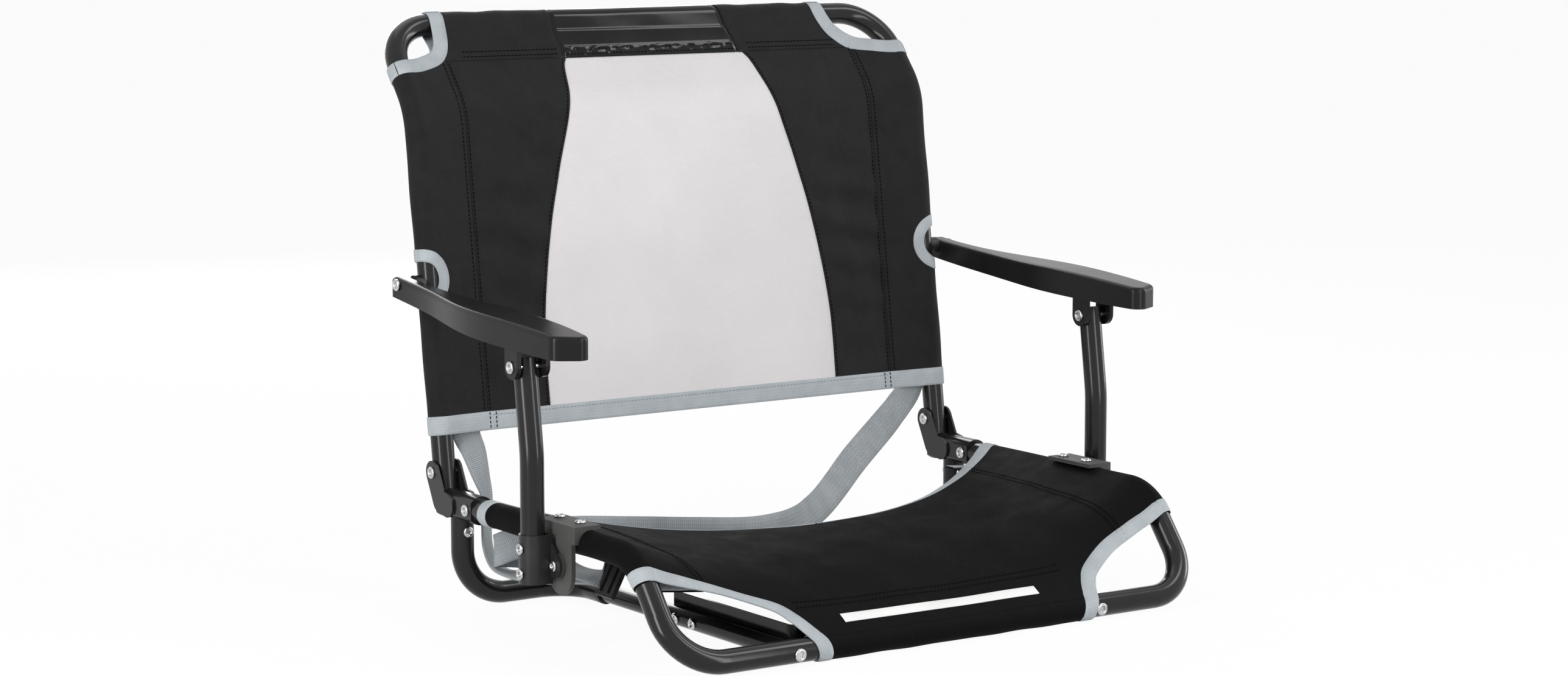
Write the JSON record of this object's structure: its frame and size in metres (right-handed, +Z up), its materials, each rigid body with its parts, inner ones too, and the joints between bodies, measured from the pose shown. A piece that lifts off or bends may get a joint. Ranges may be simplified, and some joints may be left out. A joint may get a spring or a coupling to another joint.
{
  "type": "folding stadium chair",
  "caption": "Low folding chair for a bleacher bench: bent tube frame, cloth seat, mesh-centred back, armrests on folding posts, carry strap and a bench hook.",
  "frame": {"origin": "middle of the footprint on the bench surface, at the base of the bounding box", "axes": "the chair faces -Y, +X is to the right seen from its front, +Z is up"},
  "size_m": [0.6038, 0.476, 0.4856],
  "materials": {
    "tube": "dark metallic powder coat",
    "plate": "satin dark coat",
    "zinc": "zinc plated",
    "arm_plastic": "satin moulded",
    "clamp_plastic": "matte moulded",
    "black_plastic": "matte",
    "black_cloth": "woven",
    "pale_mesh": "open mesh",
    "black_vinyl": "glossy coated cloth",
    "edge_tape": "woven tape",
    "webbing": "woven webbing",
    "white_tape": "smooth tape"
  },
  "bodies": {
    "seat": {"seat_frame": "tube", "rail_tee_right": "tube", "rail_tee_left": "tube", "hinge_plate_right_outer": "plate", "hinge_plate_left_outer": "plate", "hinge_plate_right_inner": "plate", "hinge_plate_left_inner": "plate", "hinge_pivot_rivets": "zinc", "socket_rivets": "zinc", "rear_leg_right": "tube", "rear_leg_left": "tube", "leg_rivets": "zinc", "stretcher_right": "tube", "stretcher_bushes": "black_plastic", "front_rail_rivets": "zinc", "rail_clamp_right": "clamp_plastic", "rail_clamp_left": "clamp_plastic", "clamp_pivot_rivets": "zinc", "clamp_rivets": "zinc", "seat_cover": "black_cloth", "seat_binding": "edge_tape", "seat_label": "white_tape", "carry_strap": "webbing", "strap_buckle": "black_plastic"},
    "back": {"back_frame": "tube", "upright_plugs": "black_plastic", "arm_pivot_rivets": "zinc", "arm_washers": "black_plastic", "back_panel_left": "black_cloth", "back_panel_right": "black_cloth", "back_mesh": "pale_mesh", "top_strip": "black_vinyl", "back_binding": "edge_tape"},
    "armrest_right": {"armrest_right": "arm_plastic", "lug_rivet_right": "zinc"},
    "armrest_left": {"armrest_left": "arm_plastic", "lug_rivet_left": "zinc"},
    "post_right": {"arm_post_right": "tube", "post_bracket_right": "plate", "bracket_rivets_right": "zinc"},
    "post_left": {"arm_post_left": "tube", "post_bracket_left": "plate", "bracket_rivets_left": "zinc"},
    "hook": {"stretcher_left": "tube", "bench_hook": "plate", "hook_rivets": "zinc"}
  },
  "joints": [
    {"name": "back_fold", "type": "hinge", "parent": "seat", "child": "back", "pos_m": [0, 0.13072, 0.11], "axis": [1, 0, 0], "range_deg": [0, 92], "deforming": ["carry_strap"]},
    {"name": "arm_right_turn", "type": "hinge", "parent": "back", "child": "armrest_right", "pos_m": [0, 0.15203, 0.26555], "axis": [1, 0, 0], "range_deg": [-92, 0]},
    {"name": "post_right_turn", "type": "hinge", "parent": "seat", "child": "post_right", "pos_m": [0, -0.07858, 0.06695], "axis": [1, 0, 0], "range_deg": [0, 92]},
    {"name": "arm_left_turn", "type": "hinge", "parent": "back", "child": "armrest_left", "pos_m": [0, 0.15203, 0.26555], "axis": [1, 0, 0], "range_deg": [-92, 0]},
    {"name": "post_left_turn", "type": "hinge", "parent": "seat", "child": "post_left", "pos_m": [0, -0.07858, 0.06695], "axis": [1, 0, 0], "range_deg": [0, 92]},
    {"name": "hook_swing", "type": "hinge", "parent": "seat", "child": "hook", "pos_m": [-0.149, 0, 0.0095], "axis": [0, 1, 0], "range_deg": [0, 90]}
  ],
  "couplings": [
    {"joint": "arm_right_turn", "follows": "back_fold", "ratio": -1},
    {"joint": "post_right_turn", "follows": "back_fold", "ratio": 1},
    {"joint": "arm_left_turn", "follows": "back_fold", "ratio": -1},
    {"joint": "post_left_turn", "follows": "back_fold", "ratio": 1}
  ]
}
